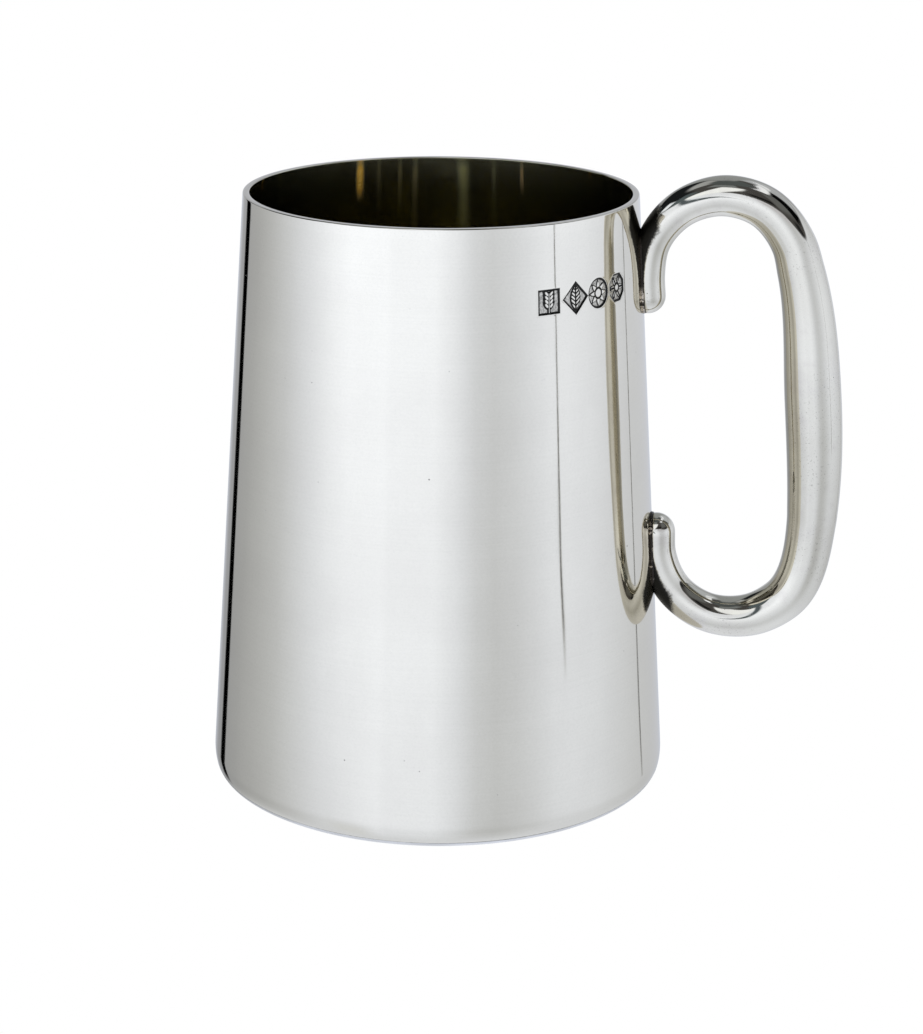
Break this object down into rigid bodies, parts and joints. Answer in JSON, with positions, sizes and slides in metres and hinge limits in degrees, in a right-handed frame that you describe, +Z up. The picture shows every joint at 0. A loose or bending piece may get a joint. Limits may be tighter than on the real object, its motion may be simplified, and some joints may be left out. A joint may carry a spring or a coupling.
{
  "type": "pewter tankard",
  "caption": "Straight-sided tapered drinking tankard in polished pewter, with a let-in base, a hollow round loop handle soldered to the wall and a row of struck marks by the handle.",
  "frame": {"origin": "on the drum's axis at the plane the tankard stands on", "axes": "+Z up along the drum's axis, +X towards the handle, -Y the side that shows the struck marks"},
  "size_m": [0.1237, 0.0906, 0.1205],
  "materials": {
    "pewter_polished": "bright polished pewter with a faint haze and fine pits",
    "pewter_turned": "turned pewter with fine concentric lines",
    "solder": "dull pewter solder, granular and dark in the crevices"
  },
  "bodies": {
    "root": {"body_wall": "pewter_polished", "base_disc": "pewter_turned", "handle": "pewter_polished", "handle_top_solder": "solder", "handle_bottom_solder": "solder", "base_solder": "solder"}
  },
  "joints": []
}
